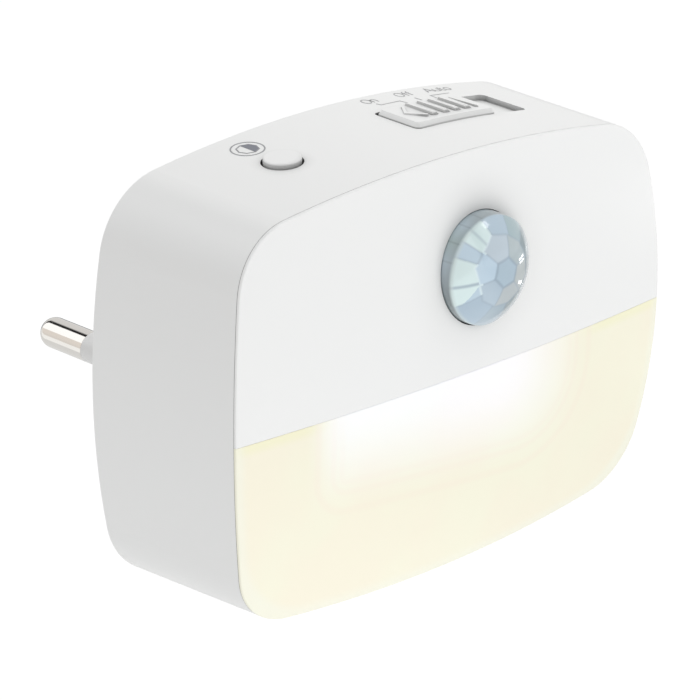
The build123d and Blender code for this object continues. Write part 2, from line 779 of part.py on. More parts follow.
# ================================================================ motion sensor
def make_lens():
    seat = front_depth(lens_x, lens_z)
    edge_height = lens_wall_height

    def shell(radius, rise, drop):
        """Wall and dome of revolution about the lens axis, drawn as a half profile."""
        foot = seat + drop
        shoulder = seat - edge_height
        crown = seat - rise
        side = radius - lens_draft
        profile = make_face(
            [
                Line((0, foot), (radius, foot)),
                Line((radius, foot), (side, shoulder)),
                arc_between((side, shoulder), (0, crown), side, edge_height - rise),
                Line((0, crown), (0, foot)),
            ]
        )
        return profile

    inner_top = lens_dome_height - lens_wall
    rear_side = cover_thickness + lens_flange_thickness + lens_slope_room
    outer = revolve(shell(lens_radius, lens_dome_height, rear_side), Axis.Y)
    hollow = revolve(shell(lens_radius - lens_wall, inner_top, rear_side + cut_over), Axis.Y)
    lens = Pos(lens_x, front_y, body_z + lens_z) * (outer - hollow)
    flange = rod(lens_x, lens_z, 2 * (lens_radius + lens_flange), seat, seat + rear_side)
    flange -= rod(lens_x, lens_z, 2 * (lens_radius - lens_wall / 2), seat, seat + rear_side)
    flange &= behind_front(cover_thickness + seat_gap)
    return lens + flange


def arc_between(start, crown, half_chord, rise):
    """Arc from a shoulder to a crown on the axis, level at the crown."""
    height = abs(rise)
    radius = (half_chord**2 + height**2) / (2 * height)
    centre = crown[1] + radius
    angle = atan2(half_chord, centre - start[1]) / 2
    middle = (radius * sin(angle), centre - radius * cos(angle))
    return ThreePointArc(start, middle, crown)


def make_can():
    face = can_face_depth
    can = rod(lens_x, lens_z, can_diameter - 2 * can_rim, face, face + can_height)
    can = fillet(can.faces().sort_by(Axis.Y)[0].edges(), can_edge_round)
    can += rod(lens_x, lens_z, can_diameter, face + can_height - can_rim_thickness, face + can_height)
    room = window_thickness + seat_gap
    can -= block(lens_x, face, lens_z, window_length + fit_gap, 2 * room, window_width + fit_gap)
    for leg in legs(sensor_legs, face + can_height - leg_root):
        can += leg
    return can


def make_can_window():
    middle = can_face_depth + window_thickness / 2
    return block(lens_x, middle, lens_z, window_length, window_thickness, window_width)


def make_sensor_spacer():
    start = can_face_depth + can_height + seat_gap
    spacer = rod(lens_x, lens_z, spacer_diameter, start, board_depth - seat_gap)
    for x, z in sensor_legs:
        spacer -= rod(x, z, leg_diameter + 2 * leg_gap, start, board_depth)
    return spacer


def make_light_sensor():
    end = light_sensor_face + light_sensor_length
    head = rod(light_sensor_x, light_sensor_z, light_sensor_diameter, light_sensor_face, end)
    tip_edge = head.faces().sort_by(Axis.Y)[0].edges()
    head = fillet(tip_edge, (light_sensor_diameter - light_sensor_tip_flat) / 2)
    rim = light_sensor_diameter + 2 * light_sensor_rim
    head += rod(light_sensor_x, light_sensor_z, rim, end - light_sensor_rim_thickness, end)
    for leg in legs(light_legs, end - leg_root):
        head += leg
    return head


# ================================================================ slider and its switch
def on_knob(s, t, height):
    """Point over the knob at the left end of its travel: s along X from its middle, t rearwards."""
    x = knob_x + s
    depth = slot_depth_centre + t
    return x, front_y + depth, body_z + top_height(x, depth) + height


def knob_shift():
    """From the middle of its travel to its left end, along the slider's sloping track."""
    half = slider_travel / 2
    return Pos(-half * cos(slider_angle), 0, half * sin(slider_angle))


def make_knob():
    """Slider knob at the left end of its travel, its cap parallel to the case's top there."""
    plan = RectangleRounded(knob_length, slot_width - 2 * slider_gap, knob_corner)
    left_height = top_height(knob_left, slot_depth_centre)
    right_height = top_height(knob_right, slot_depth_centre)
    fall = (left_height - right_height) / knob_length
    middle = (knob_x, front_y + slot_depth_centre, body_z + (left_height + right_height) / 2)
    seat = Plane(origin=middle, x_dir=(1, 0, -fall), z_dir=(fall, -flare_rate, 1))
    lower = extrude(seat * plan, amount=-knob_skirt)
    raised = extrude(seat * plan, amount=knob_raw_height, taper=knob_bevel)
    plateau = (lower + raised) & flared(knob_proud, front_room, body_depth)
    knob = plateau - flared(-slot_floor + knob_underside_gap, front_room, body_depth)
    knob += make_ribs()
    knob += make_arrow()
    return knob + knob_shift() * make_stem()


def make_stem():
    """Stem, hooks and fork under the knob, in the middle of its travel."""
    stem_foot = switch_case_top + stem_foot_gap
    stem_tall = slot_seat - stem_foot
    stem = block(slot_x, slot_depth_centre, stem_foot + stem_tall / 2, stem_length, stem_width, stem_tall)
    hook_middle = slot_seat - wall - hook_gap - hook_height / 2
    hook_width = stem_width + 2 * hook_reach
    stem += block(slot_x, slot_depth_centre, hook_middle, stem_length, hook_width, hook_height)
    slit = lever_length + 2 * fork_gap
    slit_top = switch_case_top + lever_rise + lever_top_gap
    slit_tall = slit_top - stem_foot
    slit_middle = stem_foot + slit_tall / 2
    return stem - block(slot_x, slot_depth_centre, slit_middle, slit, hook_width + cut_over, slit_tall)


def make_ribs():
    """Finger ribs: ridges with a steep left side and a long slope on the right."""
    ribs = None
    for start, height in zip(rib_starts, rib_heights):
        x, y, z = on_knob(start, rib_rearward, knob_proud)
        points = [
            (0, -relief_root),
            (rib_base * height, -relief_root),
            (rib_base * height, -height / 2),
            (rib_top_to * height, height),
            (rib_top_from * height, height),
            (0, 0),
        ]
        section = Plane(origin=(x, y + rib_length / 2, z), x_dir=(1, 0, 0), z_dir=(0, -1, 0))
        rib = extrude(section * make_face(Polyline(*points, close=True)), amount=rib_length)
        ribs = rib if ribs is None else ribs + rib
    return ribs


def make_arrow():
    """Raised arrow pointing left, of two thin bars."""
    x, y, z = on_knob(arrow_tip, arrow_rearward, knob_proud - relief_root)
    half = arrow_line / 2
    points = [
        (-half, 0),
        (arrow_reach, arrow_arm + half),
        (arrow_reach + arrow_line, arrow_arm),
        (arrow_line, 0),
        (arrow_reach + arrow_line, -arrow_arm),
        (arrow_reach, -arrow_arm - half),
    ]
    plan = make_face(Polyline(*points, close=True))
    return extrude(Pos(x, y, z) * plan, amount=relief_root + arrow_height)


def lever_shift():
    return Pos(-slider_travel / 2 * cos(slider_angle), 0, 0)


def make_lever():
    top = switch_case_top + lever_rise
    foot = switch_case_top - lever_depth
    lever = block(slot_x, slot_depth_centre, (top + foot) / 2, lever_length, lever_width, top - foot)
    shoe = block(slot_x, slot_depth_centre, foot + shoe_height / 2, shoe_length, shoe_width, shoe_height)
    return lever_shift() * (lever + shoe)


def make_switch_case():
    middle = switch_case_top - switch_case_height / 2
    front = slot_depth_centre - switch_case_width / 2
    rear = board_depth - seat_gap
    case = block(slot_x, (front + rear) / 2, middle, switch_case_length, rear - front, switch_case_height)
    mouth = slider_travel + lever_length + 2 * switch_gap
    mouth_wide = lever_width + 2 * switch_gap
    case -= block(slot_x, slot_depth_centre, switch_case_top, mouth, mouth_wide, 2 * lever_depth)
    track = slider_travel + shoe_length + 2 * switch_gap
    track_wide = shoe_width + 2 * switch_gap
    track_tall = shoe_height + 2 * switch_gap
    track_middle = switch_case_top - lever_depth + shoe_height / 2
    case -= block(slot_x, slot_depth_centre, track_middle, track, track_wide, track_tall)
    for leg in legs(switch_legs, rear - leg_root):
        case += leg
    return case


# ================================================================ push button and its switch
def make_button():
    ceiling = button_ceiling - fit_gap
    flange_foot = ceiling - button_flange_thickness
    cap = upright(button_x, button_depth, cap_diameter, flange_foot, body_height)
    cap &= flared(button_proud, front_room, body_depth)
    seat = body_z + top_height(button_x, button_depth)
    rim = cap.edges().filter_by(lambda e: e.center().Z > seat + button_proud / 2)
    cap = fillet(rim, button_round)
    cap += upright(button_x, button_depth, button_flange, flange_foot, ceiling)
    return cap + upright(button_x, button_depth, button_stem, button_foot, ceiling)


def make_tact_case():
    front = button_depth - tact_size / 2 + tact_setback
    rear = board_depth - seat_gap
    middle = tact_top - tact_height / 2
    case = block(button_x, (front + rear) / 2, middle, tact_size, rear - front, tact_height)
    pocket_foot = tact_top - plunger_depth - button_travel - plunger_room
    case -= upright(button_x, button_depth, plunger_diameter + 2 * plunger_gap, pocket_foot, tact_top)
    for leg in legs(tact_legs, rear - leg_root):
        case += leg
    return case


def make_plunger():
    foot = tact_top - plunger_depth
    return upright(button_x, button_depth, plunger_diameter, foot, tact_top + plunger_rise)


# ================================================================ board components
def make_film_capacitor():
    far = board_depth - seat_gap
    body = block(film_x, far - film_height / 2, film_z, film_length, film_height, film_width)
    body = fillet(body.edges().filter_by(Axis.Y), film_round)
    for leg in legs(film_legs, far - leg_root):
        body += leg
    return body


def make_can_capacitor(x, z, diameter, height, places):
    far = board_depth - seat_gap
    body = rod(x, z, diameter, far - height, far)
    body = fillet(body.faces().sort_by(Axis.Y)[0].edges(), can_edge_round)
    for leg in legs(places, far - leg_root):
        body += leg
    return body


def make_fuse():
    """Fusible resistor lying on the board, its two wire ends bent down through it."""
    depth = board_depth - seat_gap - fuse_diameter / 2
    along = Plane(origin=(fuse_x, front_y + depth, body_z + fuse_z), z_dir=(1, 0, 0))
    body = along * Cylinder(fuse_diameter / 2, fuse_length)
    body += along * Cylinder(leg_diameter / 2, fuse_leg_pitch)
    for leg in legs(fuse_legs, depth - leg_diameter / 2):
        body += leg
    return body


def behind_board(x, z, length, width, height):
    """A flat component soldered to the rear face of the board."""
    return block(x, board_rear + seat_gap + height / 2, z, length, height, width)


def make_chip():
    body = behind_board(chip_x, chip_z, chip_length, chip_width, chip_height)
    for i in range(chip_pins):
        x = chip_x + (i - (chip_pins - 1) / 2) * chip_pin_pitch
        body += behind_board(x, chip_z, lead_width, chip_width + 2 * lead_reach, lead_thickness)
    return body


def make_bridge():
    body = behind_board(bridge_x, bridge_z, bridge_length, bridge_width, bridge_height)
    for s in sides:
        x = bridge_x + s * bridge_pitch / 2
        body += behind_board(x, bridge_z, lead_width, bridge_width + 2 * lead_reach, lead_thickness)
    return body


def make_regulator():
    body = behind_board(regulator_x, regulator_z, regulator_length, regulator_width, regulator_height)
    for s in (-1, 0, 1):
        x = regulator_x + s * regulator_pitch
        z = regulator_z - regulator_lead_shift
        body += behind_board(x, z, lead_width, regulator_width, lead_thickness)
    return body


def make_resistors():
    chips = []
    for i in range(resistor_columns):
        for j in range(resistor_rows):
            x = resistor_x + (i - (resistor_columns - 1) / 2) * resistor_pitch_x
            z = resistor_z + (j - (resistor_rows - 1) / 2) * resistor_pitch_z
            chips.append(behind_board(x, z, resistor_length, resistor_width, resistor_height))
    return Compound(children=chips)


# ================================================================ write the pieces
os.makedirs("parts", exist_ok=True)
cover = make_cover()
save(make_housing(), "housing")
save(make_front_panel(cover), "front_panel")
save(make_diffuser(cover), "diffuser")
save(make_rear_cover(), "rear_cover")
save(make_rear_screws(), "rear_cover_screws")
save(make_plug_body(), "plug_body")
for name, s in (("left", -1), ("right", 1)):
    save(make_pin(s), "pin_" + name)
    save(make_sleeve(s), "pin_sleeve_" + name)
    save(make_wire(s), "mains_wire_" + name)
save(make_board(), "main_board")
save(make_board_screws(), "board_screws")
save(make_tray(), "light_tray")
save(make_led_board(), "led_board")
save(make_leds(), "leds")
save(make_lens(), "sensor_lens")
save(make_can(), "motion_sensor")
save(make_can_window(), "motion_sensor_window")
save(make_sensor_spacer(), "sensor_spacer")
save(make_light_sensor(), "light_sensor")
save(make_knob(), "mode_knob")
save(make_lever(), "switch_lever")
save(make_switch_case(), "slide_switch")
save(make_button(), "button_cap")
save(make_tact_case(), "tact_switch")
save(make_plunger(), "tact_plunger")
save(make_film_capacitor(), "film_capacitor")
save(make_can_capacitor(bulk_x, bulk_z, bulk_diameter, bulk_height, bulk_legs), "bulk_capacitor")
save(make_can_capacitor(small_x, small_z, small_diameter, small_height, small_legs), "small_capacitor")
save(make_fuse(), "fuse_resistor")
save(make_bridge(), "bridge_rectifier")
save(make_chip(), "control_chip")
save(make_regulator(), "voltage_regulator")
save(make_resistors(), "chip_resistors")
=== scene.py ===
import json
from math import cos, pi, radians, sin

import bmesh
import bpy
import numpy as np
from mathutils import Matrix, Vector


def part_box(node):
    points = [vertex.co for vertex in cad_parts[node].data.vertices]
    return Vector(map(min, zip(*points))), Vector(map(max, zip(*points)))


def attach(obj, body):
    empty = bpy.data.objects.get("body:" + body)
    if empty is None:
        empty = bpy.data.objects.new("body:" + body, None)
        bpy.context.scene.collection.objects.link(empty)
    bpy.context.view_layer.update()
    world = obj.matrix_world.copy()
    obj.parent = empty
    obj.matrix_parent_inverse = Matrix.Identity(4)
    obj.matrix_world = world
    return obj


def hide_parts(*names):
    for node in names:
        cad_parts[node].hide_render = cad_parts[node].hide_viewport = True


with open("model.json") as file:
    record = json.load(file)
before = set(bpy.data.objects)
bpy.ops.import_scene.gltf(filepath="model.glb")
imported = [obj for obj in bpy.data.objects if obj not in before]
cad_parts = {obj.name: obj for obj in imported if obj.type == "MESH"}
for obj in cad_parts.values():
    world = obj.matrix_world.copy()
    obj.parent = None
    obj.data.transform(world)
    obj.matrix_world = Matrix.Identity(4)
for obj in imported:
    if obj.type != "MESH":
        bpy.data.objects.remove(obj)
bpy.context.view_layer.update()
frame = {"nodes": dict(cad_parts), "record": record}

# Plug-in night light: the finish of every piece, the faceted sensor lens and the printed marks on top.
# Lengths are written in millimetres and turned into metres by MM.
MM = 0.001

# ---------------------------------------------------------------- sizes that the shell shares
shell_low, shell_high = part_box("housing")
lens_low, lens_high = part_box("sensor_lens")
body_depth = 19.9 * MM           # front corners to the rear plane
rear_flare = 0.85 * MM           # growth of the outline towards the rear, on every side
top_arc = 164.4 * MM             # radii of the front's outline
side_arc = 88.6 * MM
bottom_arc = 264.5 * MM
lower_corner = 8.7 * MM
seam_drop = 0.3 * MM             # the seam of the front lies this far under the middle
middle_z = (shell_low.z + shell_high.z) / 2
rear_y = shell_high.y
front_y = rear_y - body_depth
half_width = shell_high.x - rear_flare
half_height = (shell_high.z - shell_low.z) / 2 - rear_flare
seam_z = middle_z - seam_drop

# ---------------------------------------------------------------- camera, from the middle of the front
camera_azimuth = radians(-44.8292)
camera_elevation = radians(20.9082)
camera_roll = radians(0.5443)
camera_distance = 339.8 * MM
camera_aside = -10.86 * MM
camera_raise = 0.98 * MM
camera_lens = 152.22
camera_sensor = 36.0

# ---------------------------------------------------------------- studio
ambient_light = 0.70
floor_drop = 60.0 * MM           # floor under the plug's axis
floor_reach = 8.0
floor_white = (0.9, 0.9, 0.9, 1)
floor_glow = 1.12
beige_card = (0.9, 0.84, 0.78, 1)
floor_shade_share = 0.2          # how much of the real shade of the floor the camera sees


# ================================================================ shader arithmetic
class Signal:
    """A shader socket in Python arithmetic: an expression on signals adds its Math nodes."""

    def __init__(self, finish, socket):
        self.finish = finish
        self.socket = socket

    def math(self, operation, *terms):
        return self.finish.node("ShaderNodeMath", {"operation": operation}, dict(enumerate(terms)))

    def __add__(self, other):
        return self.math("ADD", self, other)

    def __sub__(self, other):
        return self.math("SUBTRACT", self, other)

    def __rsub__(self, other):
        return self.math("SUBTRACT", other, self)

    def __mul__(self, other):
        return self.math("MULTIPLY", self, other)

    def __abs__(self):
        return self.math("ABSOLUTE", self)

    def __pow__(self, other):
        return self.math("POWER", self, other)

    __radd__ = __add__
    __rmul__ = __mul__

    def lesser(self, other):
        return self.math("MINIMUM", self, other)

    def greater(self, other):
        return self.math("MAXIMUM", self, other)

    def ease(self, start, end):
        """0 before start, 1 after end, with a smooth step between them; start may be the larger one."""
        low, high = (start, end) if start < end else (end, start)
        values = {"Value": self, "From Min": low, "From Max": high}
        step = self.finish.node("ShaderNodeMapRange", {"interpolation_type": "SMOOTHSTEP"}, values)
        return step if start < end else 1 - step


class Finish:
    """The nodes of a material or of the world. node() makes any node, and surface() sets the shader."""

    def __init__(self, owner):
        owner.use_nodes = True
        self.owner = owner
        self.tree = owner.node_tree
        self.tree.nodes.clear()

    def make(self, kind, settings=None, values=None):
        node = self.tree.nodes.new(kind)
        for key, value in (settings or {}).items():
            setattr(node, key, value)
        for key, value in (values or {}).items():
            if isinstance(value, Signal):
                self.tree.links.new(value.socket, node.inputs[key])
            else:
                node.inputs[key].default_value = value
        return node

    def node(self, kind, settings=None, values=None, output=0):
        return Signal(self, self.make(kind, settings, values).outputs[output])

    def coordinates(self):
        return self.node("ShaderNodeTexCoord", output="Object")

    def place(self):
        """The three object coordinates, in millimetres."""
        split = self.make("ShaderNodeSeparateXYZ", values={0: self.coordinates()})
        return [Signal(self, out) * (1 / MM) for out in split.outputs]

    def noise(self, size, detail=2.0, stretch=(1, 1, 1)):
        """Cloudy pattern from 0 to 1 whose blotches measure about size, in metres."""
        mapping = self.node("ShaderNodeMapping", values={"Vector": self.coordinates(), "Scale": stretch})
        values = {"Vector": mapping, "Scale": 1 / size, "Detail": detail}
        return self.node("ShaderNodeTexNoise", values=values)

    def blend(self, mask, first, second):
        """Colour that goes from first to second as the mask goes from 0 to 1."""
        return self.node("ShaderNodeMix", {"data_type": "RGBA"}, {0: mask, 6: first, 7: second}, output=2)

    def crevice(self, reach):
        """1 on open faces, lower in corners and narrow gaps within that reach, in metres."""
        settings = {"samples": crevice_samples}
        return self.node("ShaderNodeAmbientOcclusion", settings, {"Distance": reach}, output="AO")

    def bump(self, height, depth):
        """Surface relief of that depth, in metres."""
        return self.node("ShaderNodeBump", values={"Height": height, "Distance": depth, "Strength": 1.0})

    def skin(self):
        """The fine texture that a polished mould leaves."""
        return self.bump(self.noise(skin_size), skin_relief)

    def surface(self, values):
        shader = self.make("ShaderNodeBsdfPrincipled", values=values)
        output = self.make("ShaderNodeOutputMaterial")
        self.tree.links.new(shader.outputs[0], output.inputs["Surface"])
        return self.owner


def new_finish(name):
    return Finish(bpy.data.materials.new(name))


def rgb(red, green, blue):
    return (red, green, blue, 1.0)


# ---------------------------------------------------------------- numbers that the finishes share
cloud_size = 9 * MM
skin_size = 0.5 * MM
skin_relief = 0.004 * MM
gloss_spread = 0.04              # how much the roughness varies
shell_gloss = 0.34
crevice_samples = 12
# The shell's white where it is unshaded, and the grey of the painted shade in corners, gaps, along the knob's foot
# and on the button.
unshaded_white = rgb(0.90, 0.905, 0.90)
painted_shade_grey = rgb(0.10, 0.10, 0.10)

# Where a mask on the knob or the button goes from 0 to 1, in mm: along X, behind the front corners for the ribs'
# front and rear, and over the case's top for the heights. These masks place painted shade and painted highlights.
ribs_left, ribs_right = (4.6, 5.2), (15.6, 15.2)
ribs_front, ribs_rear = (7.5, 8.1), (13.9, 13.5)
# The knob's foot range places a painted shadow line, and its crest range a painted highlight.
foot_shadow, rib_crest_highlight = (0.10, 0.03), (0.80, 0.88)
# The button's ranges place painted shade on its upright side and on the front edge of its top.
button_side_shade = (0.56, 0.34)
button_edge_shade, button_front_shade = (1.35, 2.2), (-0.2, -1.6)

# The lit chamber behind the diffuser, in mm from the middle and under the seam.
chamber_left, chamber_right, chamber_floor = 23.5, 21.0, 13.7
chamber_slope = 0.099            # its floor rises by this much per mm along X


# ================================================================ finishes
def moulded(name, colour, second, gloss):
    """Moulded plastic: faint clouds from one colour to a second one, with a gloss to match, and a fine skin."""
    finish = new_finish(name)
    cloud = finish.noise(cloud_size, 3)
    return finish.surface({
        "Base Color": finish.blend(cloud, colour, second),
        "Roughness": gloss + (cloud - 0.5) * gloss_spread,
        "Normal": finish.skin(),
    })


def shell_surface(finish, colour):
    """The shell's gloss and skin under a colour that varies."""
    return finish.surface({
        "Base Color": colour,
        "Roughness": shell_gloss + finish.noise(cloud_size, 3) * gloss_spread,
        "Normal": finish.skin(),
    })


def painted_crevice_shade(finish, reach, power):
    """The shell's white with painted shade, greyer in corners and narrow gaps within that reach: its open share to
    that power.
    """
    return finish.blend(finish.crevice(reach) ** power, painted_shade_grey, unshaded_white)


def painted_shade_white(name, reach, power):
    """The shell's plastic with painted shade: greyer in narrow gaps and recesses and close to what stands on it."""
    finish = new_finish(name)
    return shell_surface(finish, painted_crevice_shade(finish, reach, power))


def knob_white():
    """The knob's plastic with painted shade and light: painted shade deepest in its field of ribs, a painted
    highlight on their crests, and a painted shadow line along its foot.
    """
    finish = new_finish("knob_white")
    x, y, z = finish.place()
    depth = y - front_y / MM
    height = z - case_top(x, y)
    ribs = x.ease(*ribs_left) * x.ease(*ribs_right) * depth.ease(*ribs_front) * depth.ease(*ribs_rear)
    # Painted shade in corners and gaps, deeper in the field of ribs.
    colour = painted_crevice_shade(finish, 2.5 * MM, ribs * 0.8 + 0.5)
    # Painted shadow line along the knob's foot, where it meets the case.
    colour = finish.blend(height.ease(*foot_shadow) * 0.35, colour, painted_shade_grey)
    # Painted highlight on the ribs' crests.
    colour = finish.blend(height.ease(*rib_crest_highlight), colour, rgb(0.99, 0.99, 0.99))
    return shell_surface(finish, colour)


def button_white():
    """The button's plastic with painted shade: its upright side is painted an even grey shade, and its top goes grey
    with painted shade towards the front edge.
    """
    finish = new_finish("button_white")
    x, y, z = finish.place()
    low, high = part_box("button_cap")
    across, along = x - (low.x + high.x) / 2 / MM, y - (low.y + high.y) / 2 / MM
    from_middle = (across**2 + along**2) ** 0.5
    side = (z - case_top(x, y)).ease(*button_side_shade)
    front_edge_shade = from_middle.ease(*button_edge_shade) * along.ease(*button_front_shade)
    # Painted shade in the gap round the button.
    colour = painted_crevice_shade(finish, 0.8 * MM, 0.3)
    # Painted shade on the upright side.
    colour = finish.blend(side * 0.38, colour, painted_shade_grey)
    # Painted shade on the top towards its front edge.
    colour = finish.blend(front_edge_shade * 0.13, colour, painted_shade_grey)
    return shell_surface(finish, colour)


def case_top(x, y):
    """Height of the case's top, in mm, on signals or arrays in mm.

    It is an arc about an axis along Y whose radius grows with the depth behind the front corners.
    """
    radius = (y - front_y / MM) * (rear_flare / body_depth) + top_arc / MM
    return (radius**2 - x * x) ** 0.5 + (middle_z + half_height - top_arc) / MM


def inside_outline(x, drop):
    """Distance from the lower half's outline, in mm: rounded-box distance with sides and bottom drawn in by arcs.

    x is the distance from the middle and drop the distance under the body's middle.
    """
    side, low, corner = side_arc / MM, bottom_arc / MM, lower_corner / MM
    side_sag = side - (side**2 - drop * drop) ** 0.5
    low_sag = low - (low**2 - x * x) ** 0.5
    over_side = abs(x) - (half_width / MM - corner) + side_sag
    over_low = drop - (half_height / MM - corner) + low_sag
    round_part = (over_side.greater(0.0) ** 2 + over_low.greater(0.0) ** 2) ** 0.5
    return corner - round_part - over_side.greater(over_low).lesser(0.0)


def opal_diffuser():
    """Opal plastic lit from inside: white under the seam, cream further down, cooler along its rim.

    The lit chamber behind it shows as a rounded box with a slanting floor. past_chamber is the distance outside
    it, in mm, and faint lines follow its edge and two of its inner steps.
    """
    finish = new_finish("opal_diffuser")
    x, y, z = finish.place()
    below = seam_z / MM - z
    rim = inside_outline(x, middle_z / MM - z).ease(1.9, 0.2)
    corner = x.ease(-6.0, 6.0) * 8.0 + 4.5
    slanted = below - x * chamber_slope
    over_side = (x - chamber_right + corner).greater(0 - x - chamber_left + corner).greater(0.0)
    over_low = (slanted - chamber_floor + corner).greater(0.0)
    past_chamber = (over_side**2 + over_low**2) ** 0.5 - corner
    edge_line = abs(past_chamber).ease(0.8, 0.1)
    inner_lines = abs(past_chamber + 2.3).ease(0.6, 0.1) + abs(past_chamber + 3.6).ease(0.6, 0.1) * 0.7
    sides = x.ease(-25.5, -21.0) * x.ease(22.5, 4.0)
    glow = slanted.ease(15.0, 0.5) * sides * (past_chamber.ease(0.5, -6.0) * 0.4 + 0.6)
    seam_ends = abs(x + 1.0).ease(19.0, 26.0) * below.ease(1.7, 0.3)
    blotches = finish.noise(14 * MM).ease(0.35, 0.65)
    cream = finish.blend(blotches, rgb(0.888, 0.885, 0.762), rgb(0.895, 0.866, 0.752))
    cream = finish.blend(seam_ends * 0.6, cream, rgb(0.87, 0.87, 0.62))
    cream = finish.blend(edge_line * 0.4 + inner_lines * 0.35, cream, rgb(0.89, 0.83, 0.73))
    return finish.surface({
        "Base Color": finish.blend(rim * 0.65, cream, rgb(0.875, 0.895, 0.82)),
        "Roughness": 0.32 + finish.noise(6 * MM, 3) * gloss_spread,
        "Emission Color": finish.blend(glow, rgb(0.06, 0.045, 0.0), rgb(0.14, 0.16, 0.29)),
        "Emission Strength": 1.0,
        "Normal": finish.skin(),
    })


def milky_lens():
    """Milky lens with a glossy skin: the colour of each facet, with its painted reflections, comes with the mesh."""
    finish = new_finish("milky_lens")
    tint = finish.node("ShaderNodeAttribute", {"attribute_name": "facet_tint"}, output="Color")
    cloud = finish.noise(1.2 * MM)
    return finish.surface({
        "Base Color": finish.blend(cloud * 0.10, tint, rgb(0.62, 0.70, 0.75)),
        "Roughness": 0.35 + cloud * 0.06,
        "Coat Weight": 1.0,
        "Coat Roughness": 0.04,
        "Normal": finish.bump(cloud, 0.001 * MM),
    })


def metal(name, colour, roughness, streak):
    """Metal with fine drawing lines along Y and a faint change of gloss."""
    finish = new_finish(name)
    lines = finish.noise(0.12 * MM, stretch=(1, 0.04, 1))
    cloud = finish.noise(2 * MM)
    return finish.surface({
        "Base Color": finish.blend(cloud, colour, tuple(0.96 * c for c in colour[:3]) + (1,)),
        "Metallic": 1.0,
        "Roughness": roughness + cloud * gloss_spread,
        "Normal": finish.bump(lines, streak),
    })


def board(name, colour, copper):
    """Circuit board: solder mask over a net of copper lines."""
    finish = new_finish(name)
    values = {"Vector": finish.coordinates(), "Rotation": (radians(90), 0, 0)}
    flat = finish.node("ShaderNodeMapping", values=values)
    cells = finish.node("ShaderNodeTexBrick", {"offset": 0.5}, {
        "Vector": flat, "Scale": 1 / (6 * MM), "Mortar Size": 0.05,
        "Color1": colour, "Color2": colour, "Mortar": copper,
    })
    cloud = finish.noise(3 * MM, 3)
    return finish.surface({
        "Base Color": finish.blend(cloud * 0.3, cells, colour),
        "Roughness": 0.3 + cloud * 0.1,
        "Normal": finish.bump(finish.noise(0.4 * MM), 0.01 * MM),
    })


finish_of_slot = {
    "white_shell": moulded("shell_white", rgb(0.905, 0.91, 0.905), rgb(0.895, 0.902, 0.898), shell_gloss),
    "opal_diffuser": opal_diffuser(),
    "lens_milky": milky_lens(),
    "nickel_plate": metal("nickel_plate", rgb(0.80, 0.78, 0.75), 0.06, 0.001 * MM),
    "grey_sleeve": moulded("grey_sleeve", rgb(0.80, 0.80, 0.795), rgb(0.78, 0.78, 0.775), 0.4),
    "steel_screws": metal("zinc_steel", rgb(0.60, 0.61, 0.62), 0.28, 0.004 * MM),
    "wire_brown": moulded("wire_brown", rgb(0.20, 0.09, 0.04), rgb(0.17, 0.075, 0.03), 0.45),
    "wire_blue": moulded("wire_blue", rgb(0.04, 0.14, 0.42), rgb(0.03, 0.12, 0.38), 0.45),
    "board_green": board("board_green", rgb(0.02, 0.16, 0.06), rgb(0.05, 0.26, 0.10)),
    "board_white": board("board_white", rgb(0.80, 0.80, 0.78), rgb(0.72, 0.71, 0.66)),
    "white_inner": moulded("white_inner", rgb(0.86, 0.86, 0.84), rgb(0.83, 0.83, 0.81), 0.6),
    "led_package": moulded("lamp_phosphor", rgb(0.93, 0.72, 0.20), rgb(0.90, 0.66, 0.16), 0.4),
    "sensor_can": metal("tinned_can", rgb(0.66, 0.67, 0.68), 0.3, 0.003 * MM),
    "sensor_window": moulded("infrared_window", rgb(0.02, 0.02, 0.025), rgb(0.03, 0.03, 0.035), 0.12),
    "sensor_clear": moulded("clear_resin", rgb(0.70, 0.76, 0.80), rgb(0.66, 0.73, 0.78), 0.1),
    "black_plastic": moulded("black_plastic", rgb(0.02, 0.02, 0.022), rgb(0.03, 0.03, 0.032), 0.5),
    "switch_case": metal("tinned_case", rgb(0.62, 0.62, 0.62), 0.32, 0.003 * MM),
    "film_red": moulded("dipped_red", rgb(0.28, 0.03, 0.02), rgb(0.24, 0.025, 0.018), 0.2),
    "sleeve_dark": moulded("shrink_sleeve", rgb(0.02, 0.03, 0.07), rgb(0.025, 0.035, 0.08), 0.3),
    "resistor_blue": moulded("lacquer_blue", rgb(0.12, 0.24, 0.40), rgb(0.10, 0.21, 0.36), 0.3),
    "resistor_black": moulded("chip_black", rgb(0.015, 0.015, 0.018), rgb(0.025, 0.025, 0.028), 0.4),
}
own_finish = {
    "mode_knob": knob_white(),
    "button_cap": button_white(),
    # The housing and the front panel carry painted shade: in the knob's recess, in gaps and round the button, and as
    # a halo round the lens.
    "housing": painted_shade_white("housing_white", 1.6 * MM, 1.2),
    "front_panel": painted_shade_white("panel_white", 5.0 * MM, 0.45),
}


def dress(node, material):
    """Gives a CAD node's material slots a finish."""
    if not node.material_slots:
        node.data.materials.append(material)
    for place in node.material_slots:
        place.material = material


for part in frame["record"]["subparts"]:
    name = part["node"]
    dress(frame["nodes"][name], own_finish.get(name, finish_of_slot[part["material_slot"]]))


# ================================================================ mesh helpers
def grid_faces(rows, columns, closed):
    """Quads of a grid of points in row order; closed joins the last column to the first."""
    across = columns if closed else columns - 1
    row, column = np.meshgrid(np.arange(rows - 1), np.arange(across), indexing="ij")
    after = (column + 1) % columns
    corners = [row * columns + column, row * columns + after]
    corners += [(row + 1) * columns + after, (row + 1) * columns + column]
    return np.stack(corners, axis=-1).reshape(-1, 4)


